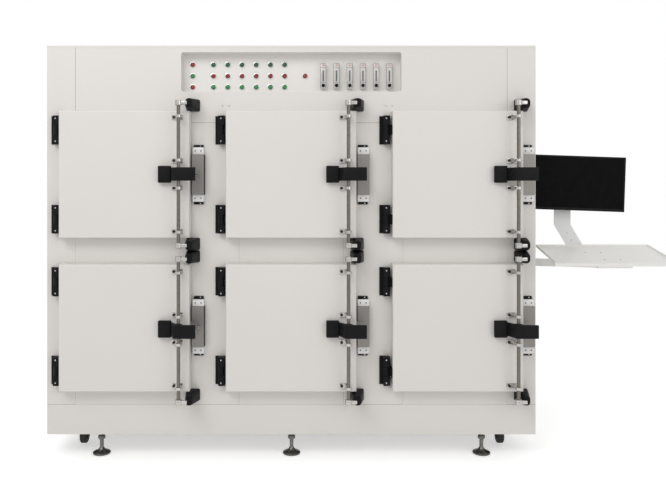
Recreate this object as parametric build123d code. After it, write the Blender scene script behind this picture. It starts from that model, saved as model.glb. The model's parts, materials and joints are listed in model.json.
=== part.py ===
from build123d import *
from math import atan2, degrees
import os

# Six-chamber laboratory oven. X runs to the right, Y into the cabinet, Z up, in millimetres.
# While it is built, x = 0 is the cabinet's middle, y = 0 its front plane and z = 0 the floor.

# Cabinet
cabinet_depth = 950
floor_gap = 110
sheet = 2
top_cover = 10
stile_w = 131
chamber_front_w = 480
mullion_w = 274
kick_h = 138
front_below = 138.5
front_above = 14.5
header_h = 345
panel_fold = 25
bend_r = 1.5
spare_hole_r = 2.5
spare_hole_pitch = 30
spare_hole_places = (-301, 450)
spare_hole_z = 77
vent_count = 5
vent_w = 220
vent_h = 8
vent_pitch = 22
vent_first_z = 60

# Chambers
chamber_w = 450
chamber_h = 450
chamber_d = 500
plenum_d = 70
liner_sheet = 1.5
wool_t = 50
baffle_slots = 7
baffle_slot_pitch = 55
baffle_slot_inset = 45
baffle_slot_w = 40
baffle_slot_h = 10
shelf_t = 12
shelf_sheet = 2
shelf_side_gap = 4
shelf_front_y = 40
shelf_rear_gap = 10
shelf_slot_first = 35
shelf_slot_pitch = 42
shelf_slot_d = 14
shelf_slot_w = 160
shelf_slot_x = 100
runner_w = 14
runner_t = 2
fan_r = 85
fan_eye_r = 60
fan_plate_t = 3
fan_depth = 30
fan_back_gap = 50
fan_blades = 8
blade_root = 38
shaft_r = 8
shaft_hole_r = 15
wool_hole_r = 20
motor_r = 62
motor_len = 110
heater_half = 130
heater_bar = 10
heater_t = 8
heater_back_gap = 22
heater_post_h = 12

# Doors
door_w = 590
door_h = 575
door_t = 61
door_gap = 4
door_sheet = 2
door_edge_r = 5
row_gap = 119
plug_clear = 10
plug_d = 36
gasket_w = 10
seat_gap = 0.3

# Hinges
hinge_h = 130
hinge_inset_z = 83.5
hinge_pin_inset = 5
knuckle_stand = 1
knuckle_edge_r = 4
hinge_foot_t = 4
hinge_foot_front = 8
hinge_foot_back = 4
hinge_pin_r = 4
hinge_pin_x = 23
hinge_block_w = 30
hinge_block_d = 36
hinge_leaf_t = 4
hinge_leaf_w = 16
hinge_arm_t = 16
knuckle_gap = 0.5
pin_clear = 0.05

# Door latch: rod, brackets, cams, lever and keepers
rod_r = 8
rod_inset = 39
rod_standoff = 55
inner_bracket_z = 62
outer_bracket_inset = 30.5
bracket_h = 20
bracket_ring_h = 12
bracket_web_inset = 3
bracket_foot_w = 49
bracket_foot_t = 7
bracket_foot_x = -14.5
bracket_ring_r = 13
rod_clear = 0.08
strip_w = 50
strip_t = 2
strip_margin = 6
cam_past_door = 29.5
cam_h = 24
cam_hub_r = 15
cam_reach = 38
cam_nose_w = 14
cam_nose_h = 16
keeper_h = 56
keeper_clear = 2.5
keeper_d = 100
keeper_left = 15
keeper_right = 78
keeper_front_left = 24
keeper_front_right = 61
keeper_edge_r = 8
cam_sweep_clear = 2
grip_left = -98
grip_right = -40
grip_h = 76
grip_t = 20
grip_standoff = 28
grip_edge_r = 5
neck_back = 8
arm_right = 79
arm_h = 59
arm_t = 14
arm_standoff = 21
lever_hub_r = 17

# Door magnets
magnet_w = 50
magnet_h = 250
magnet_t = 26
magnet_x = 34
armature_w = 54
armature_h = 184
armature_t = 11
magnet_tab = 12
magnet_tab_inset = 6
magnet_tab_t = 8
armature_bracket_h = 50
armature_tab_t = 3
armature_boss_r = 7
armature_boss_h = 7

# Control panel
recess_w = 1020
recess_h = 186
recess_d = 62
recess_below_top = 111
recess_r = 14
bezel_r = 14.5
bezel_t = 3
button_r = 10.5
button_out = 9
button_travel = 2.5
button_fit = 0.6
lamp_out = 10
button_pitch_x = 66.7
button_first_x = -366
button_row_offsets = (43, -10, -62)
plunger_r = 7.5
plunger_end = 20
contact_w = 30
contact_d = 40
contact_bore_d = 25
lamp_column_x = -463
single_lamp_x = 63
meter_first_x = 148
meter_pitch_x = 61.6
meter_w = 26
meter_h = 118
meter_t = 24
meter_drop = 13
meter_slot_w = 10
meter_slot_d = 6
meter_slot_low = 30
meter_slot_high = 16
meter_knob_r = 8
meter_knob_len = 12
meter_knob_z = 14
chambers = 6

# Feet and casters
foot_x = 890
foot_y = 60
foot_r = 41
foot_t = 14
foot_edge = 5
stem_r = 9
nut_flats = 30
nut_h = 18
caster_x = 1007
caster_y = 150
wheel_r = 37.5
wheel_w = 30
wheel_lift = 8
wheel_edge = 4
wheel_side_gap = 1.5
caster_offset = 28
fork_plate_t = 5
fork_sheet = 3
fork_leg_w = 28
fork_front = 18
fork_below_axle = 12
swivel_r = 6
swivel_gap = 1
axle_r = 5
caster_plate_w = 84
frame_tube_w = 60
frame_tube_h = 40

# Monitor and keyboard tray
monitor_w = 458
monitor_h = 268
monitor_t = 22
monitor_x = 1403
monitor_z = 1268
monitor_roll = 2
monitor_edge_r = 4
hump_w = 275
hump_h = 180
hump_t = 14
post_w = 82
post_t = 5
post_bend_z = 1062
post_top_x = 1348
post_foot_x = 1417
post_overlap = 6
post_above_pin = 40
monitor_standoff = 44
neck_w = 40
neck_r = 12
neck_reach = 16
neck_ear = 7
neck_ear_inset = 2
neck_pin_r = 4
tray_w = 560
tray_d = 276
tray_t = 3
tray_lip = 12
tray_left = 1215
tray_front_z = 894
tray_tilt = 12
tray_front_y = 0
arm_pivot_x = 1160
arm_pivot_y = 232
arm_pivot_z = 880
arm_pivot_r = 22
arm_pin_r = 8
arm_plate_t = 4
arm_plate_w = 90
arm_plate_h = 120
ear_t = 8
ear_gap = 0.5
arm_bar_h = 34
arm_bar_w = 44
arm_flat_w = 36
arm_end_y = 140
tray_pin_h = 12
boss_r = 20
pull_w = 160
pull_r = 9
pull_y = 10
pull_web = 12
pull_drop = 2

# Rear services
exhaust_r = 19
exhaust_wall = 1.5
exhaust_out = 60
exhaust_drop = 60
gland_r = 16
gland_len = 24
gland_inset = 150
gland_z = 120

cabinet_w = 2 * stile_w + 3 * chamber_front_w + 2 * mullion_w
door_pitch_z = door_h + row_gap
chamber_front_h = front_below + chamber_h + door_pitch_z + front_above
cabinet_h = kick_h + chamber_front_h + header_h + top_cover
cabinet_top = floor_gap + cabinet_h
kick_top = floor_gap + kick_h
header_bottom = kick_top + chamber_front_h
header_top = header_bottom + header_h
half_w = cabinet_w / 2
column_pitch = chamber_front_w + mullion_w
columns = {"left": -column_pitch, "centre": 0, "right": column_pitch}
lower_z = kick_top + front_below + chamber_h / 2
rows = {"lower": lower_z, "upper": lower_z + door_pitch_z}
door_places = {f"{row}_{column}": (x, z) for row, z in rows.items() for column, x in columns.items()}

door_face_y = -door_gap - door_t
rod_x = door_w / 2 - rod_inset
rod_y = door_face_y - rod_standoff
pin_x = -door_w / 2 - hinge_pin_x
pin_y = -hinge_leaf_t - knuckle_stand - hinge_block_w / 2
knuckle_h = hinge_h / 3
liner_back_y = sheet + chamber_d
hinge_offset_z = door_h / 2 - hinge_inset_z
bracket_z = (inner_bracket_z, door_h / 2 - outer_bracket_inset)
cam_z = door_h / 2 + cam_past_door
recess_z = header_top - recess_below_top
button_rows = [recess_z + offset for offset in button_row_offsets]
meter_z = recess_z - meter_drop


def block(x, y, z):
    """Box between the given lowest and highest x, y and z."""
    middle = [(low + high) / 2 for low, high in (x, y, z)]
    return Pos(*middle) * Box(*[abs(high - low) for low, high in (x, y, z)])


def upright(radius, z, x=0, y=0):
    """Cylinder along Z between two heights."""
    return Pos(x, y, (z[0] + z[1]) / 2) * Cylinder(radius, z[1] - z[0])


def along_y(radius, y, x=0, z=0):
    """Cylinder along Y between two depths."""
    return Pos(x, (y[0] + y[1]) / 2, z) * Rot(90, 0, 0) * Cylinder(radius, y[1] - y[0])


def along_x(radius, x, y=0, z=0):
    """Cylinder along X between two places."""
    return Pos((x[0] + x[1]) / 2, y, z) * Rot(0, 90, 0) * Cylinder(radius, x[1] - x[0])


def folded_panel(x, z, y_front=0, fold=panel_fold):
    """Front sheet whose four edges are folded back."""
    outer = block(x, (y_front, y_front + fold), z)
    outer = fillet(outer.faces().sort_by(Axis.Y)[0].edges(), bend_r)
    inner_x = (x[0] + sheet, x[1] - sheet)
    inner_z = (z[0] + sheet, z[1] - sheet)
    return outer - block(inner_x, (y_front + sheet, y_front + fold), inner_z)


def at_doors(pieces):
    """The same pieces at each of the six doors."""
    return [Pos(x, 0, z) * piece for x, z in door_places.values() for piece in pieces]


# Cabinet casing

def base_frame():
    """Welded tubes under the cabinet, laid side by side without overlap."""
    z = (floor_gap + sheet, floor_gap + sheet + frame_tube_h)
    end = half_w - sheet
    y0 = panel_fold
    y1 = cabinet_depth - panel_fold
    rails = [block((-end, end), (y, y + frame_tube_w), z) for y in (y0, y1 - frame_tube_w)]
    across = (y0 + frame_tube_w, y1 - frame_tube_w)
    half_tube = frame_tube_w / 2
    places = (-caster_x, -foot_x / 2, foot_x / 2, caster_x)
    tubes = [block((x - half_tube, x + half_tube), across, z) for x in places]
    pan = block((-end, end), (y0, y1), (z[1], z[1] + sheet))
    return rails + tubes + [pan]


def side_panels():
    """Left and right casing sides with folded front and rear edges."""
    fold = panel_fold
    right = block((half_w - sheet, half_w), (fold, cabinet_depth - sheet), (floor_gap, header_top))
    flange_x = (half_w - fold, half_w - sheet)
    rear_y = cabinet_depth - 2 * sheet
    right += block(flange_x, (rear_y, rear_y + sheet), (floor_gap + frame_tube_h + fold, header_top))
    return [right, mirror(right, about=Plane.YZ)]


def top_panel():
    """Top cover tray with a drip edge all round."""
    cover = block((-half_w, half_w), (0, cabinet_depth), (header_top, cabinet_top))
    hollow_x = (-half_w + sheet, half_w - sheet)
    hollow_y = (sheet, cabinet_depth - sheet)
    return [cover - block(hollow_x, hollow_y, (header_top, cabinet_top - sheet))]


def exhaust_ports():
    """Centres of the exhaust stubs on the rear, one for each chamber."""
    return [(x, z + chamber_h / 2 - exhaust_drop) for x, z in door_places.values()]


def rear_panel():
    """Back sheet with exhaust stubs, vent slots and a cable gland."""
    y = (cabinet_depth - sheet, cabinet_depth)
    back = block((-half_w, half_w), y, (floor_gap, header_top))
    slots = []
    for column_x in columns.values():
        for index in range(vent_count):
            z = floor_gap + vent_first_z + index * vent_pitch
            slots.append(block((column_x - vent_w / 2, column_x + vent_w / 2), y, (z, z + vent_h)))
    back -= slots
    back -= [along_y(exhaust_r - exhaust_wall, y, x, z) for x, z in exhaust_ports()]
    pieces = [back]
    for x, z in exhaust_ports():
        stub = along_y(exhaust_r, (cabinet_depth, cabinet_depth + exhaust_out), x, z)
        pieces.append(stub - along_y(exhaust_r - exhaust_wall, (0, 2 * cabinet_depth), x, z))
    x, z = half_w - gland_inset, floor_gap + gland_z
    gland = along_y(gland_r, (cabinet_depth, cabinet_depth + gland_len), x, z)
    return pieces + [gland - along_y(gland_r / 2, (0, 2 * cabinet_depth), x, z)]


def header_panel():
    """Wide upper front sheet around the recess, built as plates that meet at its window."""
    left, right = -half_w + stile_w, half_w - stile_w
    panel = folded_panel((left, right), (header_bottom, header_top))
    panel -= rounded_slab(0, (0, panel_fold))
    for pair_x in spare_hole_places:
        for side in (-spare_hole_pitch / 2, spare_hole_pitch / 2):
            panel -= along_y(spare_hole_r, (0, sheet), pair_x + side, header_bottom + spare_hole_z)
    window = window_half_w()
    face, fold = (0, sheet), (sheet, panel_fold)
    full = (header_bottom, header_top)
    cuts = [block((left, -window), face, full), block((window, right), face, full)]
    cuts += [block((-window, window), face, band) for band in ((full[0], recess_z), (recess_z, full[1]))]
    cuts += [block((left, right), fold, band) for band in ((full[0], full[0] + sheet), (full[1] - sheet, full[1]))]
    between = (full[0] + sheet, full[1] - sheet)
    cuts += [block(span, fold, between) for span in ((left, left + sheet), (right - sheet, right))]
    return [panel & cut for cut in cuts]


def front_stiles():
    """Outer stiles over the full height and mullions between the chamber fronts."""
    full = (kick_top, header_top)
    stiles = [folded_panel((-half_w, -half_w + stile_w), full)]
    stiles.append(folded_panel((half_w - stile_w, half_w), full))
    for side in (-1, 1):
        x = side * column_pitch / 2
        span = (x - mullion_w / 2, x + mullion_w / 2)
        stiles.append(folded_panel(span, (kick_top, header_bottom)))
    return stiles


def kick_panel():
    """Full-width sheet under the chambers."""
    return [folded_panel((-half_w, half_w), (floor_gap, kick_top))]


def chamber_fronts():
    """Rails above, between and below the openings, and jambs beside them."""
    low, high = rows["lower"], rows["upper"]
    half = chamber_h / 2
    bands = [(kick_top, low - half), (low + half, high - half), (high + half, header_bottom)]
    pieces = []
    for x in columns.values():
        outer = (x - chamber_front_w / 2, x + chamber_front_w / 2)
        pieces += [block(outer, (0, sheet), band) for band in bands]
        for z in rows.values():
            tall = (z - half, z + half)
            pieces.append(block((outer[0], x - chamber_w / 2), (0, sheet), tall))
            pieces.append(block((x + chamber_w / 2, outer[1]), (0, sheet), tall))
    return pieces


# Chambers

def chamber_liners():
    """Stainless walls of one chamber at a time, with the slotted air baffle at the back."""
    half_x, half_z = chamber_w / 2, chamber_h / 2
    y = (sheet, liner_back_y)
    side = block((half_x, half_x + liner_sheet), y, (-half_z, half_z))
    top = block((-half_x - liner_sheet, half_x + liner_sheet), y, (half_z, half_z + liner_sheet))
    back_y = (liner_back_y, liner_back_y + liner_sheet)
    reach_x, reach_z = half_x + liner_sheet, half_z + liner_sheet
    back = block((-reach_x, reach_x), back_y, (-reach_z, reach_z)) - along_y(shaft_hole_r, (0, cabinet_depth))
    baffle_y = (liner_back_y - plenum_d, liner_back_y - plenum_d + liner_sheet)
    baffle = block((-half_x, half_x), baffle_y, (-half_z, half_z)) - along_y(fan_eye_r, (0, cabinet_depth))
    slot_x, slot_z = baffle_slot_w / 2, baffle_slot_h / 2
    for x in (-half_x + baffle_slot_inset, half_x - baffle_slot_inset):
        for index in range(baffle_slots):
            z = (index - (baffle_slots - 1) / 2) * baffle_slot_pitch
            baffle -= block((x - slot_x, x + slot_x), baffle_y, (z - slot_z, z + slot_z))
    walls = [side, mirror(side, about=Plane.YZ), top, mirror(top, about=Plane.XY), back, baffle]
    return at_doors(walls)


def shelves():
    """One slotted shelf on a pair of runners in each chamber."""
    half_x = chamber_w / 2
    y = (shelf_front_y, liner_back_y - plenum_d - shelf_rear_gap)
    pieces = []
    for sign in (-1, 1):
        inner, outer = sorted((sign * half_x, sign * (half_x - runner_w)))
        pieces.append(block((inner, outer), y, (-runner_t, 0)))
    shelf = block((-half_x + shelf_side_gap, half_x - shelf_side_gap), y, (0, shelf_t))
    inner_x = half_x - shelf_side_gap - shelf_sheet
    shelf -= block((-inner_x, inner_x), (y[0] + shelf_sheet, y[1] - shelf_sheet), (shelf_sheet, shelf_t))
    slot_x = shelf_slot_w / 2
    for index in range(int((y[1] - y[0] - shelf_slot_first) / shelf_slot_pitch)):
        slot_y = y[0] + shelf_slot_first + index * shelf_slot_pitch
        for x in (-shelf_slot_x, shelf_slot_x):
            shelf -= block((x - slot_x, x + slot_x), (slot_y, slot_y + shelf_slot_d), (0, shelf_sheet))
    return at_doors(pieces + [shelf])


def insulation():
    """Wool slabs beside, between and behind the chambers."""
    y = (panel_fold + 1, liner_back_y + liner_sheet)
    reach_x = chamber_w / 2 + liner_sheet
    reach_z = chamber_h / 2 + liner_sheet
    low, high = rows["lower"], rows["upper"]
    bottom, top = low - reach_z - wool_t, high + reach_z + wool_t
    edges = [-half_w + panel_fold + 1]
    for x in columns.values():
        edges += [x - reach_x, x + reach_x]
    edges.append(half_w - panel_fold - 1)
    slabs = [block((edges[i], edges[i + 1]), y, (bottom, top)) for i in range(0, len(edges), 2)]
    for x in columns.values():
        span = (x - reach_x, x + reach_x)
        bands = [(bottom, low - reach_z), (low + reach_z, high - reach_z), (high + reach_z, top)]
        slabs += [block(span, y, band) for band in bands]
    rear = block((edges[0], edges[-1]), (y[1], y[1] + wool_t), (bottom, top))
    for x, z in door_places.values():
        rear -= along_y(wool_hole_r, (0, cabinet_depth), x, z)
    return slabs + [rear]


def fan_units():
    """Rear motor with its shaft, the fan wheel and the heater frame around it."""
    wheel_y = liner_back_y - fan_back_gap
    motor_y = liner_back_y + liner_sheet + wool_t
    motor = along_y(motor_r, (motor_y, motor_y + motor_len))
    motor += along_y(shaft_r, (wheel_y, motor_y))
    wheel = along_y(fan_r, (wheel_y, wheel_y + fan_plate_t)) - along_y(shaft_r + pin_clear, (0, cabinet_depth))
    blade_y = (wheel_y + fan_plate_t, wheel_y + fan_depth)
    blade = block((blade_root, fan_r), blade_y, (-liner_sheet / 2, liner_sheet / 2))
    for index in range(fan_blades):
        wheel += Rot(0, index * 360 / fan_blades, 0) * blade
    heater_y = (liner_back_y - heater_back_gap - heater_t, liner_back_y - heater_back_gap)
    outer, inner = heater_half, heater_half - heater_bar
    heater = block((-outer, outer), heater_y, (-outer, outer))
    heater -= block((-inner, inner), heater_y, (-inner, inner))
    for x in (-outer, inner):
        post_z = (-heater_post_h / 2, heater_post_h / 2)
        heater += block((x, x + heater_bar), (heater_y[1], liner_back_y), post_z)
    return at_doors([motor, wheel, heater])


# Doors

def hinge_bands():
    """Lower and upper outer knuckle and the middle one of a hinge centred on z = 0."""
    low = (-hinge_h / 2, -knuckle_h / 2 - knuckle_gap)
    middle = (-knuckle_h / 2, knuckle_h / 2)
    return low, middle, (-low[1], -low[0])


def hinge_leaves():
    """Cabinet side of a door's two hinges: leaf, outer knuckles and pin."""
    low, middle, high = hinge_bands()
    leaf_left = pin_x - hinge_block_w / 2 - hinge_leaf_w
    leaf_right = pin_x + hinge_block_w / 2
    leaf = block((leaf_left, leaf_right), (-hinge_leaf_t, 0), (low[0], high[1]))
    pin = upright(hinge_pin_r, (low[0] + hinge_pin_inset, high[1] - hinge_pin_inset), pin_x, pin_y)
    body = leaf
    for band in (low, high):
        knuckle = block((leaf_right - hinge_block_w, leaf_right), (-hinge_block_d, -hinge_leaf_t), band)
        knuckle = fillet(knuckle.edges().filter_by(Axis.Z).group_by(Axis.Y)[0], knuckle_edge_r)
        body += knuckle
    body += pin
    return at_doors([Pos(0, 0, sign * hinge_offset_z) * body for sign in (-1, 1)])


def door_shell():
    """Powder-coated door pan, open at the back, with the latch's backing strip."""
    half_x, half_z = door_w / 2, door_h / 2
    pan = block((-half_x, half_x), (door_face_y, -door_gap), (-half_z, half_z))
    pan = fillet(pan.faces().sort_by(Axis.Y)[0].edges(), door_edge_r)
    inner_x = (-half_x + door_sheet, half_x - door_sheet)
    inner_z = (-half_z + door_sheet, half_z - door_sheet)
    pan -= block(inner_x, (door_face_y + door_sheet, -door_gap), inner_z)
    strip_x = rod_x + bracket_foot_x
    strip_y = (door_face_y - strip_t, door_face_y)
    strip = block((strip_x - strip_w / 2, strip_x + strip_w / 2), strip_y, (-half_z + strip_margin, half_z - strip_margin))
    return [pan, strip]


def rod_bracket():
    """Cast bracket: foot on the backing strip, web and ring around the rod, at z = 0."""
    half_z = bracket_h / 2
    foot_y = door_face_y - strip_t
    foot_x = rod_x + bracket_foot_x
    foot_span = (foot_x - bracket_foot_w / 2, foot_x + bracket_foot_w / 2)
    body = block(foot_span, (foot_y - bracket_foot_t, foot_y), (-half_z, half_z))
    web_half = bracket_ring_r - bracket_web_inset
    ring_z = (-bracket_ring_h / 2, bracket_ring_h / 2)
    body += block((rod_x - web_half, rod_x + web_half), (rod_y, foot_y), ring_z)
    body += upright(bracket_ring_r, ring_z, rod_x, rod_y)
    body -= upright(rod_r + rod_clear, (-half_z, half_z), rod_x, rod_y)
    return body


def door_fittings():
    """Inner pan with its plug, seal, rod brackets, hinge arms and armature of a door."""
    back_x = door_w / 2 - door_sheet - seat_gap
    back_z = door_h / 2 - door_sheet - seat_gap
    plug_x = chamber_w / 2 - plug_clear
    plug_z = chamber_h / 2 - plug_clear
    plate_y = (-door_gap - liner_sheet, -door_gap)
    inner = block((-back_x, back_x), plate_y, (-back_z, back_z))
    inner += block((-plug_x, plug_x), (plate_y[0], plug_d), (-plug_z, plug_z))
    hollow_x, hollow_z = plug_x - liner_sheet, plug_z - liner_sheet
    inner -= block((-hollow_x, hollow_x), (plate_y[0], plug_d - liner_sheet), (-hollow_z, hollow_z))
    seal_in = chamber_w / 2 + 2
    seal_out = seal_in + gasket_w
    seal = block((-seal_out, seal_out), (-door_gap, -seat_gap), (-seal_out, seal_out))
    seal -= block((-seal_in, seal_in), (-door_gap, 0), (-seal_in, seal_in))
    pieces = [inner, seal]
    for z in bracket_z:
        pieces += [Pos(0, 0, sign * z) * rod_bracket() for sign in (-1, 1)]
    middle = hinge_bands()[1]
    arm = block((pin_x, -door_w / 2), (pin_y - hinge_arm_t / 2, pin_y + hinge_arm_t / 2), middle)
    arm += upright(hinge_block_w / 2, middle, pin_x, pin_y)
    foot_y = (door_face_y + hinge_foot_front, -door_gap - hinge_foot_back)
    arm += block((-door_w / 2 - hinge_foot_t, -door_w / 2), foot_y, middle)
    arm -= upright(hinge_pin_r + pin_clear, middle, pin_x, pin_y)
    pieces += [Pos(0, 0, sign * hinge_offset_z) * arm for sign in (-1, 1)]
    return pieces + [armature()]


def armature():
    """Steel plate that the magnet holds, on a tab from the door's edge."""
    centre = door_w / 2 + magnet_x
    plate_y = (-magnet_t - seat_gap - armature_t, -magnet_t - seat_gap)
    plate_x = (centre - armature_w / 2, centre + armature_w / 2)
    plate = block(plate_x, plate_y, (-armature_h / 2, armature_h / 2))
    tab_z = (-armature_bracket_h / 2, armature_bracket_h / 2)
    tab_y = plate_y[0]
    plate += block((door_w / 2, centre), (tab_y - armature_tab_t, tab_y), tab_z)
    plate += along_y(armature_boss_r, (tab_y - armature_boss_h, tab_y), centre)
    return plate


def latch():
    """Rod with a cam at each end and the hand lever, turning as one."""
    rod = upright(rod_r, (-cam_z - cam_h / 2, cam_z + cam_h / 2))
    cam = upright(cam_hub_r, (-cam_h / 2, cam_h / 2))
    cam += block((0, cam_reach), (-cam_nose_w / 2, cam_nose_w / 2), (-cam_nose_h / 2, cam_nose_h / 2))
    lever = upright(lever_hub_r, (-arm_h / 2, arm_h / 2))
    arm_y = (-arm_standoff - arm_t, -arm_standoff)
    grip_y = rod_standoff - grip_standoff
    lever += block((-lever_hub_r, arm_right), arm_y, (-arm_h / 2, arm_h / 2))
    lever += block((-lever_hub_r, lever_hub_r), (arm_y[1], 0), (-arm_h / 2, arm_h / 2))
    slope = Polyline(
        (-lever_hub_r, arm_y[0]),
        (grip_right, grip_y),
        (grip_right, grip_y + grip_t),
        (-lever_hub_r, neck_back),
        close=True,
    )
    lever += extrude(Plane.XY * make_face(slope), arm_h / 2, both=True)
    grip = block((grip_left, grip_right), (grip_y, grip_y + grip_t), (-grip_h / 2, grip_h / 2))
    grip = fillet(grip.edges().filter_by(Axis.Z).group_by(Axis.X)[0], grip_edge_r)
    body = rod + [Pos(0, 0, sign * cam_z) * cam for sign in (-1, 1)] + lever + grip
    return [Pos(rod_x, rod_y, 0) * body]


def latch_keepers():
    """Tapered stops above and below each door, scooped out where the cam sweeps."""
    outline = Polyline(
        (rod_x + keeper_left, 0),
        (rod_x + keeper_right, 0),
        (rod_x + keeper_front_right, -keeper_d),
        (rod_x + keeper_front_left, -keeper_d),
        close=True,
    )
    low = door_h / 2 + keeper_clear
    keeper = Pos(0, 0, low) * extrude(make_face(outline), keeper_h)
    keeper = fillet(keeper.edges().filter_by(Axis.Z).group_by(Axis.Y)[0], keeper_edge_r)
    sweep = (low, cam_z + cam_h / 2 + cam_sweep_clear)
    keeper -= upright(cam_reach + cam_sweep_clear, sweep, rod_x, rod_y)
    return at_doors([keeper, mirror(keeper, about=Plane.XY)])


def door_magnets():
    """Electromagnet body beside each door with a fixing tab at each end."""
    centre = door_w / 2 + magnet_x
    span = (centre - magnet_w / 2, centre + magnet_w / 2)
    half = magnet_h / 2
    body = block(span, (-magnet_t, 0), (-half, half))
    tab_x = (span[0] + magnet_tab_inset, span[1] - magnet_tab_inset)
    tab = block(tab_x, (-magnet_tab_t, 0), (half, half + magnet_tab))
    return at_doors([body, tab, mirror(tab, about=Plane.XY)])


# Control panel

def control_face_y():
    return recess_d - sheet


def start_places():
    return [button_first_x + index * button_pitch_x for index in range(chambers)]


def lamp_places():
    """Lamps that don't move: left column, lowest row and the single one."""
    places = [(lamp_column_x, z) for z in button_rows]
    places += [(x, button_rows[2]) for x in start_places()]
    return places + [(single_lamp_x, button_rows[1])]


def button_places():
    return [(x, z) for z in button_rows[:2] for x in start_places()]


def rounded_slab(inset, y):
    """Slab of the recess's outline, drawn in by inset, between two depths."""
    outline = RectangleRounded(recess_w - 2 * inset, recess_h - 2 * inset, recess_r - inset)
    return Pos(0, y[1], recess_z) * Rot(90, 0, 0) * extrude(outline, y[1] - y[0])


def window_half_w():
    """Half width at which the plates beside the recess end, within its rounded corners."""
    return recess_w / 2 - recess_r * (1 - 0.5**0.5)


def control_tray():
    """Recessed tray in the header's window: back plate with button holes, and four walls."""
    face = control_face_y()
    back = rounded_slab(0, (face, recess_d))
    back -= [along_y(button_r + button_fit, (face, recess_d), x, z) for x, z in button_places()]
    ring = rounded_slab(0, (0, face)) - rounded_slab(sheet, (0, face))
    side_w = window_half_w()
    sides = (-recess_w, -side_w), (side_w, recess_w)
    walls = [ring & block(side, (0, face), (recess_z - recess_h, recess_z + recess_h)) for side in sides]
    for z in ((recess_z - recess_h, recess_z), (recess_z, recess_z + recess_h)):
        walls.append(ring & block((-side_w, side_w), (0, face), z))
    return [back] + walls + button_contacts()


def panel_lamps():
    """Bezels of the push buttons, and the domed lamps."""
    face = control_face_y()
    pieces = []
    for x, z in button_places():
        ring = along_y(bezel_r, (face - bezel_t, face), x, z)
        pieces.append(ring - along_y(button_r + button_fit, (0, face), x, z))
    for x, z in lamp_places():
        lamp = along_y(bezel_r, (face - bezel_t, face), x, z)
        pieces.append(lamp + along_y(button_r, (face - lamp_out, face - bezel_t), x, z))
    return pieces


def push_button(x, z):
    """Button cap with its plunger through the tray and a wider end behind it."""
    face = control_face_y()
    cap = along_y(button_r, (face - button_out, face + sheet), x, z)
    return cap + along_y(plunger_r, (face + sheet, face + plunger_end), x, z)


def button_contacts():
    """Contact block behind each button, on the tray's back."""
    back = control_face_y() + sheet
    half = contact_w / 2
    pieces = []
    for x, z in button_places():
        case = block((x - half, x + half), (back, back + contact_d), (z - half, z + half))
        pieces.append(case - along_y(button_r + button_fit, (0, back + contact_bore_d), x, z))
    return pieces


def flow_meters():
    """Tube flow meters: body with a slot for the tube, and knob."""
    face = control_face_y()
    front = face - meter_t
    pieces = []
    for index in range(chambers):
        x = meter_first_x + index * meter_pitch_x
        z = (meter_z - meter_h / 2, meter_z + meter_h / 2)
        body = block((x - meter_w / 2, x + meter_w / 2), (front, face), z)
        slot_x = (x - meter_slot_w / 2, x + meter_slot_w / 2)
        body -= block(slot_x, (front, front + meter_slot_d), (z[0] + meter_slot_low, z[1] - meter_slot_high))
        body += along_y(meter_knob_r, (front - meter_knob_len, front), x, z[0] + meter_knob_z)
        pieces.append(body)
    return pieces


# Feet and casters

def leveling_feet():
    """Six levelling feet: disc, stem and lock nut."""
    frame_z = floor_gap + sheet
    pieces = []
    for x in (-foot_x, 0, foot_x):
        for y in (foot_y, cabinet_depth - foot_y):
            disc = upright(foot_r, (0, foot_t), x, y)
            disc = chamfer(disc.edges().group_by(Axis.Z)[-1], foot_edge)
            foot = disc + upright(stem_r, (foot_t, frame_z), x, y)
            nut = extrude(Plane.XY.offset(frame_z - nut_h) * RegularPolygon(nut_flats / 2, 6, False), nut_h)
            pieces.append(foot + Pos(x, y, 0) * nut)
    return pieces


caster_places = [(-caster_x, caster_y), (caster_x, caster_y)]
rear_caster_places = [(x, cabinet_depth - caster_y) for x, _ in caster_places]
caster_top = floor_gap + sheet
axle_z = wheel_lift + wheel_r


def caster_mounts():
    """Plates of the front swivels, and the complete forks of the fixed rear casters."""
    half = caster_plate_w / 2
    pieces = []
    for x, y in caster_places:
        plate = block((x - half, x + half), (y - half, y + half), (caster_top - fork_plate_t, caster_top))
        pieces.append(plate + upright(swivel_r, (caster_top - 2 * fork_plate_t, caster_top), x, y))
    for x, y in rear_caster_places:
        plate = block((x - half, x + half), (y - half, y + half), (caster_top - fork_plate_t, caster_top))
        pieces.append(plate + Pos(x, y, 0) * fork(caster_top - fork_plate_t))
    return pieces


def fork(top):
    """Fork under height top, its axle behind the swivel axis, at x = y = 0."""
    gap = wheel_w / 2 + wheel_side_gap
    reach = gap + fork_sheet
    leg_y = (caster_offset - fork_leg_w / 2, caster_offset + fork_leg_w / 2)
    crown = block((-reach, reach), (-fork_front, leg_y[1]), (top - fork_sheet, top))
    for span in ((-reach, -gap), (gap, reach)):
        crown += block(span, leg_y, (axle_z - fork_below_axle, top - fork_sheet))
    return crown + along_x(axle_r, (-gap, gap), caster_offset, axle_z)


def swivel_fork():
    """Front fork, bored for the swivel pin and hung just under its plate."""
    top = caster_top - fork_plate_t - swivel_gap
    return fork(top) - upright(swivel_r + pin_clear, (top - fork_plate_t, top))


def wheel():
    tread = along_x(wheel_r, (-wheel_w / 2, wheel_w / 2), caster_offset, axle_z)
    tread = chamfer(tread.edges().filter_by(GeomType.CIRCLE), wheel_edge)
    return tread - along_x(axle_r + pin_clear, (-wheel_w, wheel_w), caster_offset, axle_z)


# Monitor and keyboard tray

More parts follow.
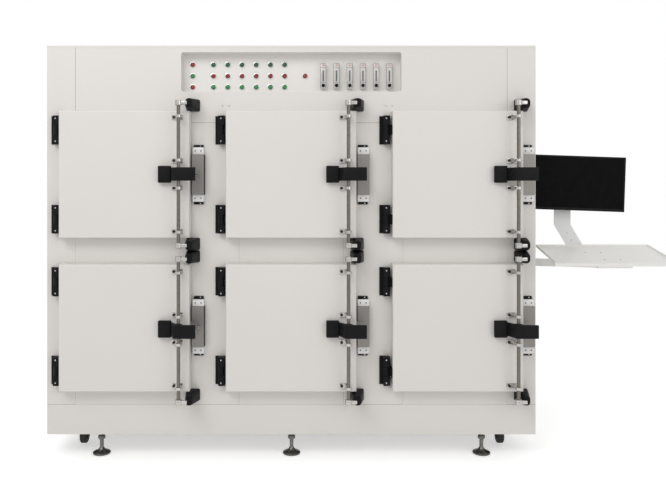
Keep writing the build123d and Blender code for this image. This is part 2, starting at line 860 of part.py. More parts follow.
def arm_bracket():
    """Plate on the cabinet's side with the two ears of the arm's pivot."""
    x, y, z = arm_pivot_x, arm_pivot_y, arm_pivot_z
    plate_y = (y - arm_plate_w / 2, y + arm_plate_w / 2)
    wall = block((half_w, half_w + arm_plate_t), plate_y, (z - arm_plate_h / 2, z + arm_plate_h / 2))
    near = arm_bar_h / 2 + ear_gap
    far = near + ear_t
    for band in ((z - far, z - near), (z + near, z + far)):
        wall += block((half_w + arm_plate_t, x), (y - arm_pivot_r, y + arm_pivot_r), band)
        wall += upright(arm_pivot_r, band, x, y)
    return [wall + upright(arm_pin_r, (z - far, z + far), x, y)]


tray_centre_x = tray_left + tray_w / 2
arm_top = arm_pivot_z + arm_bar_h / 2


def swing_arm():
    """Square bar from the wall pivot to the swivel under the tray."""
    z = (arm_pivot_z - arm_bar_h / 2, arm_top)
    hub = upright(arm_pivot_r, z, arm_pivot_x, arm_pivot_y)
    end = upright(arm_bar_w / 2, z, tray_centre_x, arm_end_y)
    run_x, run_y = tray_centre_x - arm_pivot_x, arm_end_y - arm_pivot_y
    middle = Pos(arm_pivot_x + run_x / 2, arm_pivot_y + run_y / 2, arm_pivot_z)
    turn = Rot(0, 0, degrees(atan2(run_y, run_x)))
    bar = middle * turn * Box((run_x**2 + run_y**2) ** 0.5, arm_flat_w, arm_bar_h)
    arm = hub + end + bar
    arm -= upright(arm_pin_r + pin_clear, (0, cabinet_top), arm_pivot_x, arm_pivot_y)
    return [arm + upright(arm_pin_r, (arm_top, arm_top + tray_pin_h), tray_centre_x, arm_end_y)]


def on_tray(piece):
    """Lean a piece that is built level, its front edge at the origin, into the tray's place."""
    return Pos(tray_centre_x, tray_front_y, tray_front_z) * Rot(tray_tilt, 0, 0) * piece


tray_back = on_tray(Pos(0, tray_d, 0)).position
post_front_y = tray_back.Y + seat_gap


def keyboard_tray():
    """Tray with thin lips and a pull bar, its swivel boss, and the monitor's bent post."""
    half = tray_w / 2
    plate = block((-half, half), (0, tray_d), (0, tray_t))
    for x in (-half, half - tray_t):
        plate += block((x, x + tray_t), (0, tray_d), (0, tray_lip))
    plate += block((-half, half), (tray_d - tray_t, tray_d), (0, tray_lip))
    plate += block((-half, half), (0, tray_t), (-tray_lip, 0))
    pull_x = (-pull_w / 2, pull_w / 2)
    pull_z = -tray_lip - pull_drop
    pull = along_x(pull_r, pull_x, pull_y, pull_z)
    pull += block(pull_x, (pull_y - pull_web / 2, pull_y + pull_web / 2), (pull_z, 0))
    tray = on_tray(plate + pull)
    boss = upright(boss_r, (arm_top + ear_gap, tray_back.Z), tray_centre_x, arm_end_y)
    boss -= upright(arm_pin_r + pin_clear, (arm_top, arm_top + tray_pin_h + ear_gap), tray_centre_x, arm_end_y)
    boss -= on_tray(block((-half, half), (0, tray_d), (0, tray_d)))
    return [tray + boss, monitor_post()]


def monitor_post():
    """Flat post: slanted from the tray's back edge, then upright behind the screen."""
    y = post_front_y
    low_z = tray_back.Z - post_overlap
    top_z = monitor_z + post_above_pin
    half = post_w / 2
    outline = Polyline(
        (post_foot_x - half, low_z),
        (post_foot_x + half, low_z),
        (post_top_x + half, post_bend_z),
        (post_top_x + half, top_z),
        (post_top_x - half, top_z),
        (post_top_x - half, post_bend_z),
        close=True,
    )
    face = Plane.XZ.offset(-y) * make_face(outline)
    post = extrude(face, -post_t)
    pin_x_span = (post_top_x - neck_w / 2 - neck_ear, post_top_x + neck_w / 2 + neck_ear)
    for low in (pin_x_span[0], pin_x_span[1] - neck_ear + seat_gap):
        ear = (low, low + neck_ear - seat_gap)
        ear_y = (y - neck_reach - neck_r + neck_ear_inset, y)
        post += block(ear, ear_y, (monitor_z - neck_r, monitor_z + neck_r))
    return post + along_x(neck_pin_r, pin_x_span, y - neck_reach, monitor_z)


def monitor():
    """Flat screen with a raised back and a tilt hinge around the post's pin."""
    x, post_y, z = post_top_x, post_front_y, monitor_z
    front_y = post_y - monitor_standoff - monitor_t
    half_x, half_z = monitor_w / 2, monitor_h / 2
    case = block((-half_x, half_x), (front_y, front_y + monitor_t), (-half_z, half_z))
    case = fillet(case.edges().filter_by(Axis.Y), monitor_edge_r)
    hump_y = (front_y + monitor_t, front_y + monitor_t + hump_t)
    case += block((-hump_w / 2, hump_w / 2), hump_y, (-hump_h / 2, hump_h / 2))
    case = Pos(monitor_x, 0, monitor_z) * Rot(0, monitor_roll, 0) * case
    half_neck = neck_w / 2
    neck = block((x - half_neck, x + half_neck), (front_y + monitor_t, post_y - neck_reach), (z - neck_r, z + neck_r))
    neck += along_x(neck_r, (x - half_neck, x + half_neck), post_y - neck_reach, z)
    return [case + neck - along_x(neck_pin_r + pin_clear, (x - neck_w, x + neck_w), post_y - neck_reach, z)]


# Nodes, each a list of solids

nodes = {
    "base_frame": base_frame(),
    "side_panels": side_panels(),
    "top_panel": top_panel(),
    "rear_panel": rear_panel(),
    "header_panel": header_panel(),
    "front_stiles": front_stiles(),
    "kick_panel": kick_panel(),
    "chamber_fronts": chamber_fronts(),
    "chamber_liners": chamber_liners(),
    "shelves": shelves(),
    "insulation": insulation(),
    "fan_units": fan_units(),
    "hinge_leaves": hinge_leaves(),
    "latch_keepers": latch_keepers(),
    "door_magnets": door_magnets(),
    "control_tray": control_tray(),
    "panel_lamps": panel_lamps(),
    "flow_meters": flow_meters(),
    "leveling_feet": leveling_feet(),
    "caster_mounts": caster_mounts(),
    "arm_bracket": arm_bracket(),
    "swing_arm": swing_arm(),
    "keyboard_tray": keyboard_tray(),
    "monitor": monitor(),
}
for place, (x, z) in door_places.items():
    nodes[f"door_{place}"] = [Pos(x, 0, z) * piece for piece in door_shell()]
    nodes[f"door_fittings_{place}"] = [Pos(x, 0, z) * piece for piece in door_fittings()]
    nodes[f"latch_{place}"] = [Pos(x, 0, z) * piece for piece in latch()]
for index, (x, z) in enumerate(button_places()):
    kind = "start" if index < chambers else "stop"
    nodes[f"{kind}_button_{index % chambers + 1}"] = [push_button(x, z)]
for side, (x, y) in zip(("left", "right"), caster_places):
    nodes[f"caster_fork_{side}"] = [Pos(x, y, 0) * swivel_fork()]
    nodes[f"front_wheel_{side}"] = [Pos(x, y, 0) * wheel()]
for side, (x, y) in zip(("left", "right"), rear_caster_places):
    nodes[f"rear_wheel_{side}"] = [Pos(x, y, 0) * wheel()]

# The origin is the middle of the whole object's base
whole = Compound([solid for pieces in nodes.values() for piece in pieces for solid in piece.solids()])
box = whole.bounding_box()
shift = Pos(-(box.min.X + box.max.X) / 2, -(box.min.Y + box.max.Y) / 2, -box.min.Z)

os.makedirs("parts", exist_ok=True)
for name, pieces in nodes.items():
    solids = [solid for piece in pieces for solid in (shift * piece).solids()]
    export_step(Compound(solids), f"parts/{name}.step")
print(f"{len(nodes)} nodes, box {box.size.X:.1f} x {box.size.Y:.1f} x {box.size.Z:.1f}")
print("shift", [round(value, 3) for value in shift.position])
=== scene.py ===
# %% [markdown]
# # A six-chamber laboratory oven
# The solid model arrives as a fixed frame. This script gives it its finishes, its small fasteners
# and the parts whose edges catch the light: latches, lamps, flow meters and the screen.

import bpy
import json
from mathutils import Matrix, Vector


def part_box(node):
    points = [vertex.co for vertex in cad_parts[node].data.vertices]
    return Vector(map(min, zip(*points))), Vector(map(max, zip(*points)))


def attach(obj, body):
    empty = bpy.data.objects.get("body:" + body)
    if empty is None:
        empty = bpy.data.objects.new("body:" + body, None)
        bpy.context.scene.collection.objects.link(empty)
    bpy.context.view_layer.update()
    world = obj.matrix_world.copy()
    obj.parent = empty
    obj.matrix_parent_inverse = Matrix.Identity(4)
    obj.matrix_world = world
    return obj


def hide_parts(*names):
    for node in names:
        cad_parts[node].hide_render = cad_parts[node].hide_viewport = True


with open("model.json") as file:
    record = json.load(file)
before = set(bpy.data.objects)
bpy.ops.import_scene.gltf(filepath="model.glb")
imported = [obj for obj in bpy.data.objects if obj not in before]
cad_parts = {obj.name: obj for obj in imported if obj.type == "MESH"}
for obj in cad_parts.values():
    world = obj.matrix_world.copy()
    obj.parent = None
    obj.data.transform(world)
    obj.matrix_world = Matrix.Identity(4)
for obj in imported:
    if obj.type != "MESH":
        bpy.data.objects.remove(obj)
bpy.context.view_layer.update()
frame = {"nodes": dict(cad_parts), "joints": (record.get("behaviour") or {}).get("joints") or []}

import json
import math

import bmesh
import bpy
from mathutils import Matrix, Vector

nodes = frame["nodes"]
joints = {joint["name"]: joint for joint in frame["joints"]}

# %% [markdown]
# Everything is placed from the cabinet's own front plane, its middle and the floor, so that a
# size that changes in the solid model carries its dressing with it.

# %% Places on the cabinet
kick_low, kick_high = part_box("kick_panel")
front_y = kick_low.y
middle_x = (kick_low.x + kick_high.x) / 2
MM = 0.001
door_names = [f"{row}_{column}" for row in ("upper", "lower") for column in ("left", "centre", "right")]
door_boxes = {name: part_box(f"door_{name}") for name in door_names}
rod_axes = {name: Vector(joints[f"latch_{name}_turn"]["pos_m"]) for name in door_names}
print("front plane", round(front_y, 4), "middle", round(middle_x, 4))

# %% [markdown]
# The photograph was taken from a little right of the middle, at chest height, with the picture
# cropped lower than the lens pointed. A shifted lens gives the same view without tilting it.

# %% Camera
photo_w, photo_h = 666, 500
focal_px = 695
axis_px, axis_py = 305, 190
camera_distance = 3.2
camera_right = 0.063
camera_height = 1.235
sensor_w = 36.0
camera_data = bpy.data.cameras.new("camera")
camera_data.sensor_width = sensor_w
camera_data.lens = sensor_w * focal_px / photo_w
camera_data.shift_x = (photo_w / 2 - axis_px) / photo_w
camera_data.shift_y = -(photo_h / 2 - axis_py) / photo_w
camera = bpy.data.objects.new("camera", camera_data)
bpy.context.scene.collection.objects.link(camera)
camera.location = (middle_x + camera_right, front_y - camera_distance, camera_height)
camera.rotation_euler = (math.pi / 2, 0, 0)
bpy.context.scene.camera = camera

# %% [markdown]
# Shader maths reads best as plain expressions. `Wire` wraps a socket, and its operators add the
# Math nodes; `Paint` owns one material and adds every other node through one method.


# %% Helpers for materials
class Wire:
    """A number that a shader works out, which Python's operators can build on."""

    def __init__(self, paint, socket):
        self.paint, self.socket = paint, socket

    def combine(self, operation, first, second):
        return self.paint.add("ShaderNodeMath", {"operation": operation}, {0: first, 1: second})

    def __add__(self, other):
        return self.combine("ADD", self, other)

    def __mul__(self, other):
        return self.combine("MULTIPLY", self, other)

    __radd__ = __add__
    __rmul__ = __mul__


class Paint:
    """One material with a Principled shader, whose surface varies by Object coordinates."""

    def __init__(self, name):
        self.material = bpy.data.materials.new(name)
        self.material.use_nodes = True
        self.tree = self.material.node_tree
        self.shader = self.tree.nodes["Principled BSDF"]
        self.place = self.add("ShaderNodeTexCoord", out="Object")

    def add(self, kind, settings=None, values=None, out=0):
        node = self.tree.nodes.new(kind)
        for key, value in (settings or {}).items():
            setattr(node, key, value)
        for key, value in (values or {}).items():
            self.feed(node.inputs[key], value)
        return Wire(self, node.outputs[out])

    def feed(self, socket, value):
        if isinstance(value, Wire):
            self.tree.links.new(value.socket, socket)
        else:
            socket.default_value = value

    def set(self, **values):
        for key, value in values.items():
            self.feed(self.shader.inputs[key.replace("_", " ")], value)
        return self

    def noise(self, scale, detail=2.0, stretch=(1, 1, 1)):
        place = self.add("ShaderNodeMapping", None, {"Vector": self.place, "Scale": stretch})
        return self.add("ShaderNodeTexNoise", None, {"Vector": place, "Scale": scale, "Detail": detail})

    def mix(self, amount, first, second):
        node = self.tree.nodes.new("ShaderNodeMix")
        node.data_type = "RGBA"
        self.feed(node.inputs["Factor"], amount)
        self.feed(node.inputs["A"], (*first, 1) if isinstance(first, tuple) else first)
        self.feed(node.inputs["B"], (*second, 1) if isinstance(second, tuple) else second)
        return Wire(self, [s for s in node.outputs if s.type == "RGBA"][0])

    def bump(self, height, strength, distance):
        values = {"Height": height, "Strength": strength, "Distance": distance}
        return self.add("ShaderNodeBump", None, values)


# %% [markdown]
# Powder coat is matt, faintly warm, with an orange-peel texture about two millimetres across.
# Broad, very weak mottling keeps the big panels from looking like paper.


# %% Coated, plated and moulded finishes
def powder_coat(name, colour, roughness=0.42, mottle=0.04):
    paint = Paint(name)
    darker = tuple(channel * (1 - mottle) for channel in colour)
    tint = paint.mix(paint.noise(2.2, 3.0), darker, colour)
    peel = paint.noise(420.0, 1.0)
    paint.set(Base_Color=tint, Roughness=paint.noise(9.0) * 0.12 + (roughness - 0.06))
    paint.set(Normal=paint.bump(peel, 0.10, 0.0004))
    return paint.material


def plated(name, colour, roughness, smear=0.08, metallic=1.0):
    paint = Paint(name)
    dull = tuple(channel * 0.82 for channel in colour)
    spots = paint.noise(60.0, 4.0)
    paint.set(Base_Color=paint.mix(spots, dull, colour), Metallic=metallic)
    paint.set(Roughness=spots * smear + roughness)
    return paint.material


def brushed(name, colour, roughness, stretch):
    paint = Paint(name)
    dull = tuple(channel * 0.84 for channel in colour)
    lines = paint.noise(90.0, 4.0, stretch)
    paint.set(Base_Color=paint.mix(lines, dull, colour), Metallic=1.0, Roughness=lines * 0.16 + roughness)
    paint.set(Normal=paint.bump(lines, 0.12, 0.0003))
    return paint.material


def moulded(name, colour, roughness=0.4, grain=900.0, depth=0.08, coat=0.0, gloss=0.5):
    paint = Paint(name)
    worn = tuple(min(1.0, channel * 1.25 + 0.004) for channel in colour)
    paint.set(Base_Color=paint.mix(paint.noise(35.0, 5.0), colour, worn))
    paint.set(Roughness=paint.noise(50.0, 3.0) * 0.12 + (roughness - 0.06))
    paint.set(Normal=paint.bump(paint.noise(grain, 1.0), depth, 0.0003))
    paint.shader.inputs["Coat Weight"].default_value = coat
    paint.shader.inputs["Specular IOR Level"].default_value = gloss
    return paint.material


def glowing(name, colour, strength, roughness=0.18):
    paint = Paint(name)
    rim = tuple(channel * 0.5 for channel in colour)
    paint.set(Base_Color=paint.mix(paint.noise(300.0, 2.0), rim, colour), Roughness=roughness)
    paint.set(Emission_Color=(*colour, 1), Emission_Strength=strength)
    paint.shader.inputs["Coat Weight"].default_value = 0.15
    return paint.material


def wool_felt(name, colour):
    paint = Paint(name)
    fibres = paint.noise(260.0, 6.0, (1, 1, 6))
    deep = tuple(channel * 0.6 for channel in colour)
    paint.set(Base_Color=paint.mix(fibres, deep, colour), Roughness=0.95)
    paint.set(Normal=paint.bump(fibres, 0.5, 0.002))
    return paint.material


coat_white = powder_coat("coat_white", (0.77, 0.745, 0.712))
coat_inner = powder_coat("coat_inner", (0.82, 0.80, 0.77), 0.36)
coat_arm = powder_coat("coat_arm", (0.90, 0.89, 0.86), 0.38)
coat_post = powder_coat("coat_post", (0.82, 0.82, 0.82), 0.38)
stainless = brushed("stainless", (0.62, 0.61, 0.59), 0.22, (1, 1, 30))
chrome = plated("chrome", (0.50, 0.49, 0.47), 0.20)
rod_steel = plated("rod_steel", (0.17, 0.155, 0.135), 0.24)
zinc = plated("zinc", (0.55, 0.55, 0.54), 0.32, 0.14)
foot_steel = plated("foot_steel", (0.16, 0.155, 0.145), 0.22, 0.12)
seam_shade = moulded("seam_shade", (0.10, 0.097, 0.09), 0.7)
magnet_grey = brushed("magnet_grey", (0.235, 0.225, 0.21), 0.40, (30, 1, 1))
magnet_end = moulded("magnet_end", (0.74, 0.74, 0.73), 0.3)
black_metal = moulded("black_metal", (0.006, 0.006, 0.0065), 0.46, gloss=0.09)
black_plastic = moulded("black_plastic", (0.006, 0.006, 0.0065), 0.5, gloss=0.09)
screw_black = plated("screw_black", (0.03, 0.03, 0.03), 0.35, 0.1, 0.6)
rubber = moulded("rubber", (0.018, 0.018, 0.018), 0.75, 500.0, 0.2)
silicone = moulded("silicone", (0.45, 0.16, 0.10), 0.6)
wool = wool_felt("wool", (0.80, 0.76, 0.62))
bezel_grey = plated("bezel_grey", (0.80, 0.79, 0.77), 0.22)
# The push-button caps hold no lamp; their faint emission is a painted glow in their own colour.
green_cap_painted_glow = glowing("green_cap_painted_glow", (0.012, 0.105, 0.045), 0.04)
red_cap_painted_glow = glowing("red_cap_painted_glow", (0.27, 0.008, 0.016), 0.05)
green_lit = glowing("green_lit", (0.018, 0.20, 0.055), 0.22)
red_lens = glowing("red_lens", (0.30, 0.007, 0.010), 0.10)
acrylic = moulded("acrylic", (0.56, 0.55, 0.53), 0.16, 200.0, 0.02, 0.3)
tube_dark = moulded("tube_dark", (0.035, 0.04, 0.045), 0.15, 200.0, 0.02, 0.8)
mark_red = moulded("mark_red", (0.6, 0.05, 0.03), 0.4)
screen_black = moulded("screen_black", (0.003, 0.003, 0.0032), 0.3, 1200.0, 0.03, gloss=0.02)

# %% [markdown]
# A node that holds pieces of different metals keeps its mesh, and each face picks its finish by
# where it lies: that is what `paint_by_place` does, with a rule for each piece.


# %% Finishes on the solid model
def paint_all(name, material):
    mesh = nodes[name].data
    mesh.materials.clear()
    mesh.materials.append(material)


def paint_by_place(name, materials, rule):
    """Gives each face the material whose number the rule returns for the face's centre."""
    mesh = nodes[name].data
    mesh.materials.clear()
    for material in materials:
        mesh.materials.append(material)
    for face in mesh.polygons:
        face.material_index = rule(face.center)


plain = {
    coat_white: ["base_frame", "side_panels", "top_panel", "header_panel", "front_stiles", "kick_panel",
                 "chamber_fronts"],
    stainless: ["chamber_liners", "shelves"],
    wool: ["insulation"],
    zinc: ["fan_units"],
    black_metal: ["hinge_leaves", "arm_bracket"],
    magnet_grey: ["door_magnets"],
    coat_arm: ["swing_arm"],
    black_plastic: ["caster_mounts", "caster_fork_left", "caster_fork_right"],
    rubber: [f"{row}_wheel_{side}" for row in ("front", "rear") for side in ("left", "right")],
}
for material, names in plain.items():
    for name in names:
        paint_all(name, material)
for name in door_names:
    paint_all(f"door_{name}", coat_white)

sheet_clear = 3 * MM
recess_depth = 61 * MM
block_clear = 2 * MM
post_above_tray = 95 * MM
rear_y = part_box("side_panels")[1].y
paint_by_place("rear_panel", [coat_white, zinc], lambda p: int(p.y > rear_y + sheet_clear))
recess_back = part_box("control_tray")[0].y + recess_depth
paint_by_place("control_tray", [coat_inner, black_plastic], lambda p: int(p.y > recess_back + block_clear))
tray_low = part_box("keyboard_tray")[0]
post_low_z = tray_low.z + post_above_tray
paint_by_place("keyboard_tray", [coat_arm, coat_post], lambda p: int(p.z > post_low_z))

skin_clear = 0.5 * MM
plug_half = 226.5 * MM
fitting_finishes = [chrome, stainless, black_metal, magnet_grey, silicone]
bright, lined, black, grey, sealed = range(len(fitting_finishes))


def fittings_rule(name):
    """The rule for a door's fittings: which finish a face takes, from its place around the door."""
    low, high = door_boxes[name]
    centre_x, centre_z = (low.x + high.x) / 2, (low.z + high.z) / 2

    def rule(p):
        if p.x < low.x:
            return black
        if p.x > high.x:
            return grey
        if p.y < low.y + skin_clear:
            return bright
        if p.y > high.y and max(abs(p.x - centre_x), abs(p.z - centre_z)) > plug_half:
            return sealed
        return lined

    return rule


for name in door_names:
    paint_by_place(f"door_fittings_{name}", fitting_finishes, fittings_rule(name))

# %% [markdown]
# Small shapes are made by a few mesh helpers: a box with rounded edges, a turned profile and a
# upright bar of any outline. Each one adds to a bmesh, so that one piece can hold many of them.


# %% Mesh helpers
def rounded_box(mesh, low, high, radius, steps=2):
    """Adds a box with rounded edges between two corners."""
    size = [b - a for a, b in zip(low, high)]
    centre = [(a + b) / 2 for a, b in zip(low, high)]
    matrix = Matrix.Translation(centre) @ Matrix.Diagonal((*size, 1))
    made = bmesh.ops.create_cube(mesh, size=1.0, matrix=matrix)["verts"]
    edges = list({edge for vert in made for edge in vert.link_edges})
    if radius > 0:
        bmesh.ops.bevel(mesh, geom=edges, offset=radius, segments=steps, profile=0.5, affect="EDGES")


def turned(mesh, profile, origin, axis, sides=32):
    """Adds a closed turned shape: profile is (distance along axis, radius), ends at radius 0."""
    turn = Vector((0, 0, 1)).rotation_difference(Vector(axis)).to_matrix().to_4x4()
    matrix = Matrix.Translation(origin) @ turn
    rings = []
    for along, radius in profile:
        if radius == 0:
            rings.append([mesh.verts.new(matrix @ Vector((0, 0, along)))])
            continue
        angles = [2 * math.pi * i / sides for i in range(sides)]
        ring = [Vector((radius * math.cos(a), radius * math.sin(a), along)) for a in angles]
        rings.append([mesh.verts.new(matrix @ point) for point in ring])
    for first, second in zip(rings, rings[1:]):
        for i in range(sides):
            j = (i + 1) % sides
            quad = [ring[k % len(ring)] for ring, k in ((first, i), (first, j), (second, j), (second, i))]
            quad = list(dict.fromkeys(quad))
            if len(quad) > 2:
                mesh.faces.new(quad)


def bar(mesh, outline, low, high):
    """Adds an upright prism: its outline seen from above, from one height to another."""
    rings = [[mesh.verts.new((x, y, z)) for x, y in outline] for z in (low, high)]
    count = len(outline)
    for i in range(count):
        j = (i + 1) % count
        mesh.faces.new([rings[0][i], rings[0][j], rings[1][j], rings[1][i]])
    mesh.faces.new(rings[0])
    mesh.faces.new(rings[1])


def finish_piece(name, mesh, materials, body, slot, replaces=None, smooth_deg=35):
    """Makes the bmesh an object with outward faces, smooth below an angle, riding on a body."""
    bmesh.ops.recalc_face_normals(mesh, faces=mesh.faces)
    painted = mesh.faces.layers.int.get("painted")
    if painted:
        mesh.faces.layers.int.remove(painted)
    data = bpy.data.meshes.new(name)
    for edge in mesh.edges:
        edge.smooth = len(edge.link_faces) == 2 and edge.calc_face_angle(0) < math.radians(smooth_deg)
    for face in mesh.faces:
        face.smooth = True
    mesh.to_mesh(data)
    mesh.free()
    for material in materials:
        data.materials.append(material)
    piece = bpy.data.objects.new(name, data)
    bpy.context.scene.collection.objects.link(piece)
    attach(piece, body)
    if replaces:
        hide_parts(replaces)
    return piece


def set_faces(mesh, index):
    """Gives a material number to every face that has none yet, and notes it on a layer."""
    painted = mesh.faces.layers.int.get("painted") or mesh.faces.layers.int.new("painted")
    for face in mesh.faces:
        if not face[painted]:
            face[painted] = 1
            face.material_index = index


# %% [markdown]
# Each latch is a plated rod with a cam at either end, turned by a black lever. The lever is a
# bent casting: a wide grip near the door, a sloping neck, and a straight arm over the magnet.

# %% Latches
rod_r = 8 * MM
cam_z = 317 * MM
cam_half_h = 12 * MM
cam_reach = 38 * MM
cam_hub_r = 15 * MM
cam_edge = 2 * MM
nose_start, nose_half_w, nose_half_h, nose_edge = 4 * MM, 7 * MM, 8 * MM, 2.5 * MM
set_screw_r, set_screw_in, set_screw_out, set_screw_edge = 4.5 * MM, 13 * MM, 19 * MM, 1 * MM
arm_half_h = 29.5 * MM
grip_half_h = 38 * MM
arm_right = 79 * MM
arm_front, arm_back = -35 * MM, -21 * MM
grip_left, grip_right = -98 * MM, -40 * MM
grip_front, grip_back = 27 * MM, 47 * MM
hub_r = 17 * MM
hub_back_right, hub_back_left = 6 * MM, 10 * MM
cast_edge, grip_edge = 1.6 * MM, 4.5 * MM


def latch_metal(axis):
    """Rod, cam hubs, cam noses and set screws of one latch."""
    mesh = bmesh.new()
    end = cam_z + cam_half_h
    turned(mesh, [(-end, 0), (-end, rod_r), (end, rod_r), (end, 0)], axis, (0, 0, 1), 28)
    set_faces(mesh, 1)
    hub_face_r = cam_hub_r - cam_edge
    hub = [(-cam_half_h, 0), (-cam_half_h, hub_face_r), (cam_edge - cam_half_h, cam_hub_r),
           (cam_half_h - cam_edge, cam_hub_r), (cam_half_h, hub_face_r), (cam_half_h, 0)]
    set_screw = [(set_screw_in, 0), (set_screw_in, set_screw_r), (set_screw_out - set_screw_edge, set_screw_r),
                 (set_screw_out, set_screw_r - set_screw_edge), (set_screw_out, 0)]
    for sign in (-1, 1):
        centre = axis + Vector((0, 0, sign * cam_z))
        turned(mesh, hub, centre, (0, 0, 1), 32)
        low = centre + Vector((nose_start, -nose_half_w, -nose_half_h))
        high = centre + Vector((cam_reach, nose_half_w, nose_half_h))
        rounded_box(mesh, low, high, nose_edge, 3)
        turned(mesh, set_screw, centre, (0, -1, 0), 20)
    set_faces(mesh, 0)
    return mesh


def latch_lever(axis):
    """Arm, hub, neck and grip of one latch's lever."""
    mesh = bmesh.new()
    x, y, z = axis
    outline = [(arm_right, arm_front), (arm_right, arm_back), (hub_r, arm_back),
               (hub_r, hub_back_right), (-hub_r, hub_back_left),
               (grip_right, grip_back), (grip_right, grip_front), (-hub_r, arm_front)]
    bar(mesh, [(x + a, y + b) for a, b in outline], z - arm_half_h, z + arm_half_h)
    bmesh.ops.bevel(mesh, geom=list(mesh.edges), offset=cast_edge, segments=2, profile=0.5, affect="EDGES")
    low = (x + grip_left, y + grip_front, z - grip_half_h)
    rounded_box(mesh, low, (x + grip_right, y + grip_back, z + grip_half_h), grip_edge, 3)
    return mesh


for name in door_names:
    axis = rod_axes[name]
    body = f"latch_{name}"
    finish_piece(f"latch_rod_{name}", latch_metal(axis), [chrome, rod_steel], body, "chrome", body)
    finish_piece(f"latch_lever_{name}", latch_lever(axis), [black_metal], body, "black_hardware", body)

# %% [markdown]
# A keeper is a tapered black block beside each cam. Rings of points, smaller towards the front,
# are joined into the block, and a Boolean with a drum round the rod scoops out the cam's room.

# %% Keepers
# Each section has a depth in front of the panel, then its left, right, height and corner radius.
keeper_sections = ((0, 15 * MM, 78 * MM, 56 * MM, 8 * MM),
                   (90 * MM, 24 * MM, 61 * MM, 46 * MM, 16 * MM),
                   (100 * MM, 27 * MM, 58 * MM, 40 * MM, 14 * MM))
keeper_h = keeper_sections[0][3]
keeper_clear = 2.5 * MM
scoop_clear = 2 * MM
scoop_overlap = 10 * MM
scoop_r = cam_reach + scoop_clear


def rounded_outline(left, right, low, high, radius, corner_points=7):
    """Points round a rectangle whose corners are arcs."""
    centres = [(right - radius, high - radius, 0), (left + radius, high - radius, 1),
               (left + radius, low + radius, 2), (right - radius, low + radius, 3)]
    points = []
    for x, z, quarter in centres:
        for step in range(corner_points):
            angle = (quarter + step / (corner_points - 1)) * math.pi / 2
            points.append((x + radius * math.cos(angle), z + radius * math.sin(angle)))
    return points


def keeper_block(axis, door_edge_z, sign):
    """One keeper, above its door for sign 1 and below it for sign -1."""
    mesh = bmesh.new()
    rings = []
    for depth, left, right, tall, radius in keeper_sections:
        near = keeper_clear + (keeper_h - tall) / 2
        low, high = sorted((door_edge_z + sign * near, door_edge_z + sign * (near + tall)))
        outline = rounded_outline(axis.x + left, axis.x + right, low, high, radius)
        rings.append([mesh.verts.new((x, front_y - depth, z)) for x, z in outline])
    count = len(rings[0])
    for first, second in zip(rings, rings[1:]):
        for i in range(count):
            mesh.faces.new([first[i], first[(i + 1) % count], second[(i + 1) % count], second[i]])
    mesh.faces.new(rings[0])
    mesh.faces.new(rings[-1])
    bmesh.ops.recalc_face_normals(mesh, faces=mesh.faces)
    return mesh


def as_object(name, mesh):
    data = bpy.data.meshes.new(name)
    mesh.to_mesh(data)
    mesh.free()
    made = bpy.data.objects.new(name, data)
    bpy.context.scene.collection.objects.link(made)
    return made


def scooped(block, cutter):
    """The block's mesh with the cutter's shape taken out; both blanks are removed."""
    cut = block.modifiers.new("scoop", "BOOLEAN")
    cut.operation = "DIFFERENCE"
    cut.solver = "EXACT"
    cut.object = cutter
    bpy.context.view_layer.update()
    graph = bpy.context.evaluated_depsgraph_get()
    done = bpy.data.meshes.new_from_object(block.evaluated_get(graph), depsgraph=graph)
    for spare in (block, cutter):
        bpy.data.objects.remove(spare)
    return done


keepers = bmesh.new()
for name in door_names:
    axis = rod_axes[name]
    low, high = door_boxes[name]
    for sign, edge_z in ((1, high.z), (-1, low.z)):
        block = as_object("keeper_blank", keeper_block(axis, edge_z, sign))
        cam_end = axis.z + sign * (cam_z + cam_half_h + scoop_clear)
        bottom, top = [z - axis.z for z in sorted((edge_z - sign * scoop_overlap, cam_end))]
        drum = bmesh.new()
        turned(drum, [(bottom, 0), (bottom, scoop_r), (top, scoop_r), (top, 0)], axis, (0, 0, 1), 48)
        bmesh.ops.recalc_face_normals(drum, faces=drum.faces)
        done = scooped(block, as_object("keeper_cutter", drum))
        keepers.from_mesh(done)
        bpy.data.meshes.remove(done)
print("keeper faces", len(keepers.faces))
finish_piece("keepers", keepers, [black_metal], "oven", "black_hardware", "latch_keepers")

# %% [markdown]
# Each levelling foot flares from its stem into a flat disc, with a lock nut under the frame. One
# turned profile makes disc and stem, and a six-sided one makes the nut.

# %% Levelling feet
foot_low, foot_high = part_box("leveling_feet")
foot_r = 41 * MM
stem_r = 9 * MM
# Heights and radii from the floor to the stem, then those of the lock nut.
flare = [(0, 36 * MM), (3 * MM, foot_r), (8 * MM, foot_r), (11 * MM, 38 * MM), (16 * MM, 24 * MM),
         (22 * MM, 15.5 * MM), (29 * MM, 11.5 * MM), (33 * MM, stem_r), (foot_high.z, stem_r)]
nut_low, nut_high, nut_r, nut_face_r, nut_edge = 70 * MM, 86 * MM, 17.2 * MM, 15.5 * MM, 2 * MM
nut = [(nut_low, nut_face_r), (nut_low + nut_edge, nut_r), (nut_high - nut_edge, nut_r), (nut_high, nut_face_r)]


def closed(profile):
    """The profile with its two ends brought in to the axis."""
    return [(profile[0][0], 0), *profile, (profile[-1][0], 0)]


feet = bmesh.new()
for x in (foot_low.x + foot_r, (foot_low.x + foot_high.x) / 2, foot_high.x - foot_r):
    for y in (foot_low.y + foot_r, foot_high.y - foot_r):
        turned(feet, closed(flare), Vector((x, y, 0)), (0, 0, 1), 40)
        turned(feet, closed(nut), Vector((x, y, 0)), (0, 0, 1), 6)
finish_piece("levelling_feet", feet, [foot_steel], "oven", "steel", "leveling_feet")

# %% [markdown]
# Where two folded sheets meet, a fine dark line shows between their bends. A thin strip set back
# in each groove gives that shade at any angle.

